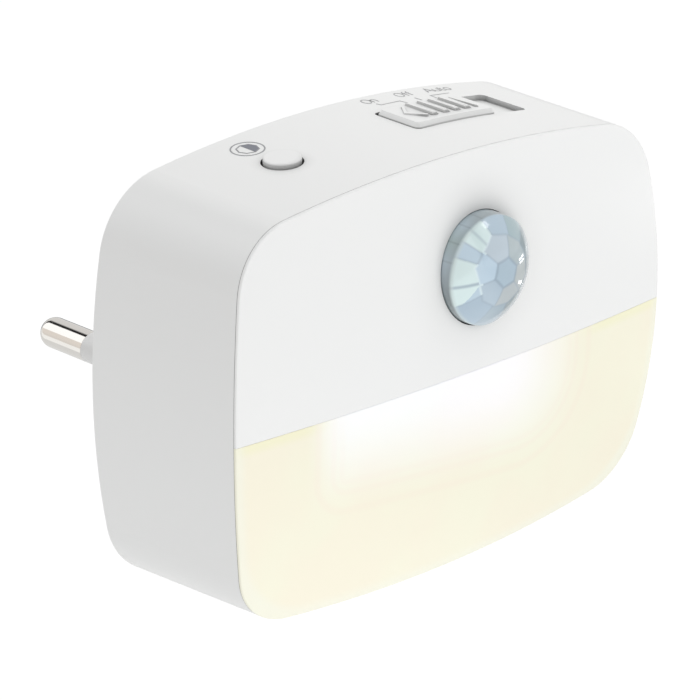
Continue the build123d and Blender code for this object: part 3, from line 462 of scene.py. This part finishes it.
def make_piece(name, points, faces, material, body, smooth=True):
    """A mesh object in the shared frame, riding on a body."""
    mesh = bpy.data.meshes.new(name)
    mesh.from_pydata(np.asarray(points).tolist(), [], [list(f) for f in faces])
    mesh.validate()
    if smooth:
        mesh.shade_smooth()
    else:
        mesh.shade_flat()
    mesh.materials.append(material)
    piece = bpy.data.objects.new(name, mesh)
    bpy.context.scene.collection.objects.link(piece)
    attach(piece, body)
    return piece


# ================================================================ sensor lens
lens_radius = 6.55 * MM
lens_draft = 0.12 * MM           # the wall leans in by this much
lens_wall_height = 1.35 * MM
lens_dome_height = 4.2 * MM
lens_wall = 0.6 * MM
lens_flange_thickness = 0.6 * MM
facet_turn = radians(14)         # first corner of the middle facet, from +X
facet_shift = (-0.3 * MM, 0.5 * MM)      # middle of the facets, from the lens's axis
hexagon_radius = 1.74 * MM       # corners of the middle facet
ring_corners = np.array([4.0, 4.1, 4.15, 4.5, 3.9, 4.1, 3.65, 4.1, 4.1, 4.05, 4.0, 4.0]) * MM
outer_borders = (10, 40, 70, 103, 137, 156.5, 190, 213, 250, 280, 310, 340)      # degrees from +X
split_cell = 6                   # the outer facet at the lower left, which a line divides
split_from = (-4.0 * MM, -0.6 * MM)
split_to = (-5.35 * MM, -2.95 * MM)
split_spokes = (121.0, 190.0)    # dark lines across the bright facets
# The shine along these borders is a painted highlight.
shining_cells = (3, 5, 6)        # outer facets whose inner border shines
wall_spokes = (101, 119, 140, 160)
border_width = 0.24 * MM
lip_width = 0.3 * MM
wall_line_width = 0.2 * MM
groove_depth = 0.006 * MM
lens_steps = 480                 # points in a ring
dome_rings = 84
inside_rings = 16
pole_share = 0.002               # smallest ring, as a share of the radius
lens_axis = Vector(((lens_low.x + lens_high.x) / 2, lens_low.y, (lens_low.z + lens_high.z) / 2))
lens_seat_y = lens_low.y + lens_dome_height


def shade(red, green, blue):
    """Linear colour of a display colour given from 0 to 255."""
    share = np.array([red, green, blue]) / 255
    return np.where(share > 0.04045, ((share + 0.055) / 1.055) ** 2.4, share / 12.92)


def polygon_radius(angle, corners):
    """Plan radius of a polygon with evenly turned corners at the given radii.

    The side between corners a and b, a turn apart by t, lies at a b sin t / (a sin(from a) + b sin(to b)).
    """
    turn = 2 * pi / len(corners)
    place = np.mod(angle - facet_turn, 2 * pi) / turn
    index = np.floor(place).astype(int) % len(corners)
    first, second = corners[index], np.roll(corners, -1)[index]
    past = (place - np.floor(place)) * turn
    return first * second * sin(turn) / (first * np.sin(past) + second * np.sin(turn - past))


def dome_height(radius):
    """Height of the lens above the panel: a spherical cap from the top of the wall to the crown."""
    foot = lens_radius - lens_draft
    rise = lens_dome_height - lens_wall_height
    ball = (foot**2 + rise**2) / (2 * rise)
    return lens_dome_height - ball + np.sqrt(ball**2 - radius**2)


def facet_place(across, up):
    """Polar place of a plan point among the facets, with the two polygons' radii at its angle."""
    radius = np.hypot(across - facet_shift[0], up - facet_shift[1])
    angle = np.arctan2(up - facet_shift[1], across - facet_shift[0])
    hexagon = polygon_radius(angle, np.full(6, hexagon_radius))
    ring = polygon_radius(angle, ring_corners)
    return radius, angle, hexagon, ring


def spoke_distance(radius, angle, borders):
    """Plan distance to the nearest of some radial borders: radius times the sine of the angle between."""
    apart = [np.abs(np.angle(np.exp(1j * (angle - border)))) for border in borders]
    return radius * np.sin(np.minimum(np.min(apart, axis=0), pi / 2))


def border_shade(distance, width):
    """1 on a border, easing to 0 at its width on either side."""
    near = np.clip(1 - distance / width, 0, 1)
    return near * near * (3 - 2 * near)


def facet_borders(across, up):
    """How near each point lies to a border: of the middle facet, in the ring, and outside it."""
    radius, angle, hexagon, ring = facet_place(across, up)
    ring_spokes = spoke_distance(radius, angle, facet_turn + np.arange(6) * pi / 3)
    outer_spokes = spoke_distance(radius, angle, np.radians(outer_borders))
    middle = border_shade(np.abs(radius - hexagon), border_width * 1.3)
    in_ring = (radius > hexagon) & (radius < ring)
    ring_part = np.where(in_ring, border_shade(ring_spokes, border_width), 0)
    ring_part = np.maximum(ring_part, border_shade(np.abs(radius - ring), border_width))
    outer_part = np.where(radius > ring, border_shade(outer_spokes, border_width), 0)
    return middle, ring_part, outer_part


# Colours of the facets in turn from +X, and of the wall at every 20 degrees from 100 on. The facets' tints hold
# painted reflections: the bright facets, the shine along some borders, the light lip, and the blue on the left and
# grey on the right.
painted_bright_facet = shade(219, 238, 238)
facet_sky = shade(188, 209, 224)
facet_line = shade(150, 168, 184)
painted_shine = shade(226, 242, 246)
middle_tint = shade(176, 196, 210)
painted_lip_highlight = shade(200, 214, 214)
ring_tints = np.array([
    shade(178, 191, 195), shade(191, 205, 216), shade(193, 214, 230),
    shade(179, 197, 211), shade(188, 196, 199), shade(190, 197, 197),
])
outer_tints = np.array([
    shade(148, 163, 168), shade(161, 183, 189), shade(178, 198, 213), painted_bright_facet, facet_sky, painted_bright_facet,
    facet_sky, shade(169, 189, 205), shade(168, 185, 196), shade(158, 170, 175), shade(154, 163, 168),
    shade(150, 161, 165),
])
wall_turns = np.arange(100, 241, 20)
wall_tints = np.array([
    shade(138, 151, 157), shade(161, 177, 186), shade(151, 168, 169), shade(167, 182, 191),
    shade(147, 159, 166), shade(126, 137, 140), shade(142, 153, 155), shade(150, 163, 166),
])


def pick(mask, chosen, other):
    """Colours chosen where the mask is true."""
    return np.where(mask[..., None], chosen, other)


def toward(tint, target, share):
    """Colours moved towards a target by a share at each point."""
    return tint + (target - tint) * share[..., None]


def dome_tints(across, up):
    """Colour of the dome: flat facets whose tints are painted reflections, bluer on the left, greyer on the right, a
    few bright ones at the left rim.
    """
    radius, angle, hexagon, ring = facet_place(across, up)
    sector = np.floor(np.mod(angle - facet_turn, 2 * pi) / (pi / 3)).astype(int)
    degrees_round = np.mod(np.degrees(angle) - outer_borders[0], 360) + outer_borders[0]
    cell = np.searchsorted(outer_borders, degrees_round, side="right") - 1
    tint = pick(radius < ring, ring_tints[sector], outer_tints[cell])
    tint = pick(radius < hexagon, middle_tint, tint)
    run = np.subtract(split_to, split_from)
    beyond = (across - split_from[0]) * run[1] - (up - split_from[1]) * run[0] > 0
    # Part of the split facet carries the painted bright reflection.
    tint = pick((cell == split_cell) & (radius > ring) & beyond, painted_bright_facet, tint)
    middle, ring_part, outer_part = facet_borders(across, up)
    # A painted shine along the inner border of some outer facets.
    shining = np.isin(cell, shining_cells) & (np.abs(radius - ring) < border_width * 1.6)
    tint = toward(tint, facet_line, middle * 0.75)
    tint = toward(tint, pick(shining, painted_shine, facet_line), ring_part * np.where(shining, 0.7, 0.45))
    split_apart = spoke_distance(radius, angle, np.radians(split_spokes))
    split = border_shade(split_apart, border_width * 1.4) * (radius > ring)
    tint = toward(tint, facet_line, np.maximum(outer_part * 0.4, split * np.where(cell == 3, 0.4, 0.8)))
    # Painted highlight along the lip on the left.
    lip = border_shade(np.abs(np.hypot(across, up) - (lens_radius - lens_draft)), lip_width)
    return toward(tint, painted_lip_highlight, lip * np.clip(-across / lens_radius, 0, 0.6))


def side_tints(across, up, height):
    """Colour of the wall: blended round between its colours, darker towards the lip, with thin dark lines up it."""
    turn = np.degrees(np.arctan2(up, across))
    tint = np.stack([np.interp(turn, wall_turns, channel, period=360) for channel in wall_tints.T], axis=-1)
    tint = tint * (1.15 - 0.35 * np.clip(height / lens_wall_height, 0, 1))[..., None]
    apart = spoke_distance(np.hypot(across, up), np.radians(turn), np.radians(wall_spokes))
    return tint * (1 - 0.2 * border_shade(apart, wall_line_width)[..., None])


def lens_tints(across, up, height):
    """Colour at each point of the lens, from its plan place and its height above the panel."""
    return pick(height < lens_wall_height * 0.98, side_tints(across, up, height), dome_tints(across, up))


def make_lens():
    """Outer dome, wall, skirt, flange and inner dome, turned about the lens axis as one closed skin.

    A ring of points has a plan radius and a height above the panel. Shallow grooves follow the facets' borders.
    """
    angle = np.linspace(0, 2 * pi, lens_steps, endpoint=False)
    foot = lens_radius - lens_draft
    flange = (lens_high.x - lens_low.x) / 2
    rear = lens_seat_y - lens_high.y
    inner = lens_radius - lens_wall
    dome = np.linspace(pole_share, 1, dome_rings) * foot
    radii = list(dome) + [
        lens_radius - lens_draft * 0.7, lens_radius - lens_draft * 0.35, lens_radius, lens_radius,
        flange, flange, inner, inner - lens_draft]
    heights = list(dome_height(dome)) + [
        lens_wall_height * 0.7, lens_wall_height * 0.35, 0, rear + lens_flange_thickness,
        rear + lens_flange_thickness, rear, rear, lens_wall_height - lens_wall]
    inside = np.linspace(0.97, pole_share, inside_rings) * inner
    radii = np.array(radii + list(inside))[:, None] * np.ones_like(angle)
    heights = np.array(heights + list(dome_height(inside) - lens_wall))[:, None] * np.ones_like(angle)
    across, up = radii * np.cos(angle), radii * np.sin(angle)
    on_dome = (np.arange(len(radii)) < len(dome) - 1)[:, None]
    heights = heights - groove_depth * np.max(facet_borders(across, up), axis=0) * on_dome
    points = np.stack([lens_axis.x + across, lens_seat_y - heights, lens_axis.z + up], axis=-1).reshape(-1, 3)
    rows = len(radii)
    caps = [list(range(lens_steps))[::-1], list(range((rows - 1) * lens_steps, rows * lens_steps))]
    faces = list(grid_faces(rows, lens_steps, closed=True)) + caps
    piece = make_piece("lens_dome", points, faces, finish_of_slot["lens_milky"], "base")
    layer = piece.data.attributes.new("facet_tint", "FLOAT_COLOR", "POINT")
    tint = lens_tints(across, up, heights + groove_depth).reshape(-1, 3)
    layer.data.foreach_set("color", np.column_stack([tint, np.ones(len(tint))]).ravel())
    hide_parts("sensor_lens")
    return piece


make_lens()


# ================================================================ printed marks on the top
print_thickness = 0.03 * MM
print_sink = 0.03 * MM
line_width = 0.13 * MM
fine_width = 0.10 * MM           # pen of the words and leaders
text_height = 1.45 * MM          # height of a capital
text_depth = 17.45               # baseline behind the front corners, in mm
merge_distance = 1e-7
ink_grey = moulded("ink_grey", rgb(0.47, 0.475, 0.48), rgb(0.43, 0.435, 0.44), 0.5)
ink_ring = moulded("ink_ring", rgb(0.35, 0.355, 0.37), rgb(0.32, 0.325, 0.34), 0.5)
ink_dark = moulded("ink_slate", rgb(0.22, 0.23, 0.265), rgb(0.20, 0.21, 0.245), 0.5)


def on_top(plan, lift):
    """Plan points (x, depth behind the front corners) put on the top surface, raised by lift."""
    x, y = plan[:, 0], front_y + plan[:, 1]
    return np.column_stack([x, y, case_top(x / MM, y / MM) * MM + lift])


def stroke(path, width, closed=False):
    """Closed flat bar along a plan path: mitred side lines at half the width, as a bottom and a top layer."""
    path = np.asarray(path, float)
    step = np.roll(path, -1, axis=0) - path
    if not closed:
        step[-1] = step[-2]
    along = step / np.linalg.norm(step, axis=1, keepdims=True)
    normal = np.column_stack([-along[:, 1], along[:, 0]])
    before = np.roll(normal, 1, axis=0)
    if not closed:
        before[0] = normal[0]
    mitre = (normal + before) / (1 + np.sum(normal * before, axis=1, keepdims=True))
    left = path + mitre * width / 2
    right = path - mitre * width / 2
    ring = [on_top(left, -print_sink), on_top(right, -print_sink)]
    ring += [on_top(right, print_thickness), on_top(left, print_thickness)]
    points = np.stack(ring, axis=1).reshape(-1, 3)
    count = len(path)
    if closed:
        points = np.vstack([points, points[:4]])
        count += 1
    faces = grid_faces(count, 4, closed=True)
    caps = [] if closed else [[0, 1, 2, 3], [4 * count - 1, 4 * count - 2, 4 * count - 3, 4 * count - 4]]
    return points, [list(f) for f in faces] + caps


def plate(outline):
    """Closed flat plate with the given outline."""
    outline = np.asarray(outline, float)
    count = len(outline)
    points = np.vstack([on_top(outline, -print_sink), on_top(outline, print_thickness)])
    around = np.arange(count)
    after = (around + 1) % count
    walls = np.column_stack([around, after, after + count, around + count])
    return points, [list(f) for f in walls] + [list(around[::-1]), list(around + count)]


def merged(shapes):
    """Several point and face lists as one."""
    points, faces, start = [], [], 0
    for some_points, some_faces in shapes:
        points.append(some_points)
        faces += [[i + start for i in f] for f in some_faces]
        start += len(some_points)
    return np.vstack(points), faces


def outward(piece):
    """Turns every face of a closed mesh outwards after merging doubles."""
    work = bmesh.new()
    work.from_mesh(piece.data)
    bmesh.ops.remove_doubles(work, verts=work.verts, dist=merge_distance)
    bmesh.ops.recalc_face_normals(work, faces=work.faces)
    work.to_mesh(piece.data)
    work.free()


def printed(name, shapes, material):
    """Thin closed shapes joined as one printed mark."""
    points, faces = merged(shapes)
    piece = make_piece(name, points, faces, material, "base", smooth=False)
    outward(piece)
    return piece


def fine(path, longest=0.5 * MM):
    """The same path with extra points on its long runs, so that it follows the curved top."""
    path = np.asarray(path, float)
    runs = [path[:1]]
    for start, end in zip(path[:-1], path[1:]):
        parts = int(np.ceil(np.linalg.norm(end - start) / longest))
        runs.append(start + (end - start) * np.linspace(0, 1, parts + 1)[1:, None])
    return np.vstack(runs)


def arc(middle_x, middle_y, half_x, half_y, start, end, steps=14):
    """Part of an ellipse between two angles in degrees."""
    angle = np.radians(np.linspace(start, end, steps))
    return [(middle_x + half_x * c, middle_y + half_y * s) for c, s in zip(np.cos(angle), np.sin(angle))]


# Each letter is its width and its pen strokes, with a capital one high.
letters = {
    "O": (0.84, [arc(0.42, 0.5, 0.42, 0.5, 90, 450, 28)]),
    "n": (0.5, [[(0, 0), (0, 0.7)], [(0, 0.42)] + arc(0.25, 0.44, 0.25, 0.25, 165, 0) + [(0.5, 0)]]),
    "f": (0.36, [arc(0.36, 0.78, 0.18, 0.22, 75, 180) + [(0.18, 0)], [(0, 0.66), (0.36, 0.66)]]),
    "A": (0.84, [[(0, 0), (0.42, 1), (0.84, 0)], [(0.14, 0.34), (0.7, 0.34)]]),
    "u": (0.5, [
        [(0, 0.7), (0, 0.26)] + arc(0.25, 0.25, 0.25, 0.25, 195, 345) + [(0.5, 0.3)], [(0.5, 0.7), (0.5, 0)]]),
    "t": (0.36, [[(0.14, 0.92)] + arc(0.34, 0.2, 0.2, 0.2, 180, 280), [(0, 0.66), (0.34, 0.66)]]),
    "o": (0.58, [arc(0.29, 0.34, 0.29, 0.35, 90, 450, 24)]),
}
letter_gap = 0.15


def word(name, text, left, right):
    """A word drawn with a fine pen between two places across the top, its baseline towards the front."""
    total = sum(letters[letter][0] for letter in text) + letter_gap * (len(text) - 1)
    stretch = (right - left) / total
    pen = left
    shapes = []
    for letter in text:
        width, strokes = letters[letter]
        for path in strokes:
            path = np.array(path)
            plan = np.column_stack([pen + path[:, 0] * stretch, text_depth + path[:, 1] * text_height / MM])
            closed = letter in "Oo"
            plan = plan[:-1] if closed else plan
            shapes.append(stroke(plan * MM, fine_width, closed))
        pen += (width + letter_gap) * stretch
    return printed(name, shapes, ink_grey)


word("mark_on", "On", 4.48, 6.42)
word("mark_off", "Off", 10.0, 12.36)
word("mark_auto", "Auto", 14.8, 18.95)
leaders = [
    [(5.42, 16.9), (5.6, 16.27), (8.74, 16.3), (8.95, 15.2)],
    [(11.34, 16.4), (11.45, 15.3)],
    [(17.09, 16.3), (13.9, 16.3), (13.87, 15.2)],
]
printed("mark_leaders", [stroke(fine(np.array(path) * MM), fine_width) for path in leaders], ink_grey)

icon_centre = np.array([-16.07, 15.78]) * MM
icon_radius = 1.93 * MM
icon_sun_radius = 1.3 * MM       # corners of the octagon in the ring


def circle(radius, steps, start=0.0, turn=2 * pi):
    angle = start + np.linspace(0, turn, steps, endpoint=turn < 2 * pi)
    return icon_centre + radius * np.column_stack([np.cos(angle), np.sin(angle)])


ring_line = stroke(circle(icon_radius, 96), line_width, closed=True)
sun_line = stroke(circle(icon_sun_radius, 8), line_width, closed=True)
sun_half = plate(circle(icon_sun_radius * 0.98, 5, start=-pi / 2, turn=pi))
printed("mark_brightness_ring", [ring_line], ink_ring)
printed("mark_brightness_outline", [sun_line], ink_ring)
printed("mark_brightness_half", [sun_half], ink_dark)


# ================================================================ studio, light and camera
def seen_rays(finish):
    """1 on rays that show the background: from the camera, mirrors and glass."""
    path = finish.make("ShaderNodeLightPath")
    camera, mirror, glass = [
        Signal(finish, path.outputs[name]) for name in ("Is Camera Ray", "Is Glossy Ray", "Is Transmission Ray")]
    return camera.greater(mirror).greater(glass), mirror


def make_floor():
    """Pale floor. The camera and mirrors see it almost white, with a share of its real shade.

    Mirrors find it light grey under the object, darker to the right, and to the left a bright and a beige stretch.
    """
    corners = [(-1, -1), (1, -1), (1, 1), (-1, 1)]
    mesh = bpy.data.meshes.new("studio_floor")
    points = [(floor_reach * x, floor_reach * y, -floor_drop) for x, y in corners]
    mesh.from_pydata(points, [], [(0, 1, 2, 3)])
    floor = bpy.data.objects.new("studio_floor", mesh)
    bpy.context.scene.collection.objects.link(floor)
    floor.visible_shadow = False     # a light table: the front lamp shines through it from below
    finish = new_finish("studio_floor")
    seen, mirror = seen_rays(finish)
    x, y, z = finish.place()
    left_part = finish.blend(x.ease(-240.0, -260.0), rgb(1.2, 1.2, 1.18), beige_card)
    right_part = finish.blend(x.ease(30.0, 80.0), rgb(0.85, 0.85, 0.84), rgb(0.18, 0.20, 0.22))
    mirrored = finish.blend(x.ease(-65.0, -80.0), right_part, left_part)
    seen_colour = finish.blend(mirror, rgb(floor_glow, floor_glow, floor_glow), mirrored)
    matte = finish.node("ShaderNodeBsdfDiffuse", values={"Color": floor_white})
    glow = finish.node("ShaderNodeEmission", values={"Color": seen_colour})
    mix = finish.make("ShaderNodeMixShader", values={0: seen * (1 - floor_shade_share), 1: matte, 2: glow})
    output = finish.make("ShaderNodeOutputMaterial")
    finish.tree.links.new(mix.outputs[0], output.inputs["Surface"])
    mesh.materials.append(finish.owner)


def make_world():
    """Even ambient light and white behind the object.

    Mirrors find a grey right side, a black slit overhead, and a white and a beige card on the left: turn is the
    direction's angle about the Y axis, in degrees from +X.
    """
    world = bpy.data.worlds.new("studio_air")
    bpy.context.scene.world = world
    finish = Finish(world)
    seen, mirror = seen_rays(finish)
    split = finish.make("ShaderNodeSeparateXYZ", values={0: finish.node("ShaderNodeTexCoord", output="Generated")})
    across, along, up = [Signal(finish, out) for out in split.outputs]
    turn = up.math("ARCTAN2", up, across) * (180 / pi)
    slit = turn.ease(68.0, 82.0) * turn.ease(98.0, 96.0)
    left_cards = finish.blend(turn.ease(149.0, 152.0), rgb(1.3, 1.3, 1.3), beige_card)
    cards = finish.blend(turn.ease(94.0, 97.0), rgb(0.79, 0.78, 0.77), left_cards)
    cards = finish.blend(slit, cards, rgb(0.02, 0.02, 0.02))
    plain = finish.blend(seen, rgb(ambient_light, ambient_light, ambient_light), rgb(1, 1, 1))
    background = finish.make("ShaderNodeBackground", values={"Color": finish.blend(mirror, plain, cards)})
    output = finish.make("ShaderNodeOutputWorld")
    finish.tree.links.new(background.outputs[0], output.inputs["Surface"])


def soft_lamp(name, offset, size, power, height=None):
    """Soft lamp that points at the middle of the front, placed by its offset from there.

    It is square, or, with a height, a strip that only shows as a glint.
    """
    aim = Vector((0, front_y, middle_z))
    place = aim + Vector(offset)
    data = bpy.data.lights.new(name, "AREA")
    data.shape = "RECTANGLE"
    data.size = size
    data.size_y = height or size
    data.energy = power
    lamp = bpy.data.objects.new(name, data)
    bpy.context.scene.collection.objects.link(lamp)
    lamp.location = place
    lamp.rotation_mode = "QUATERNION"
    lamp.rotation_quaternion = (aim - place).to_track_quat("-Z", "Y")
    lamp.visible_camera = False
    lamp.visible_diffuse = not height
    lamp.visible_glossy = bool(height)


def make_camera():
    """Camera placed by azimuth, elevation and distance, then moved aside and raised in its own plane."""
    back = Vector((
        sin(camera_azimuth) * cos(camera_elevation),
        -cos(camera_azimuth) * cos(camera_elevation),
        sin(camera_elevation),
    ))
    right = Vector((cos(camera_azimuth), sin(camera_azimuth), 0))
    up = back.cross(right)
    aim = Vector((0, front_y, middle_z))
    across = right * cos(camera_roll) + up * sin(camera_roll)
    upward = up * cos(camera_roll) - right * sin(camera_roll)
    turn = Matrix((across, upward, back)).transposed()
    data = bpy.data.cameras.new("camera")
    data.lens = camera_lens
    data.sensor_width = camera_sensor
    camera = bpy.data.objects.new("camera", data)
    bpy.context.scene.collection.objects.link(camera)
    place = aim + back * camera_distance + right * camera_aside + up * camera_raise
    camera.matrix_world = Matrix.Translation(place) @ turn.to_4x4()
    data.clip_start = 0.01
    bpy.context.scene.camera = camera


make_floor()
make_world()
soft_lamp("front_lamp", (0.03, -0.80, -0.55), 0.9, 5.0)
soft_lamp("top_lamp", (0.08, 0.0, 0.20), 0.09, 0.105)
soft_lamp("upper_glint", (0.1454, -0.036, -0.0132), 0.037, 0.0086, height=0.007)
soft_lamp("lower_glint", (0.1355, -0.0143, -0.0549), 0.030, 0.0040, height=0.005)
soft_lamp("faint_glint", (0.0622, -0.0766, 0.1255), 0.026, 0.009, height=0.020)
make_camera()
bpy.context.scene.view_settings.view_transform = "Standard"
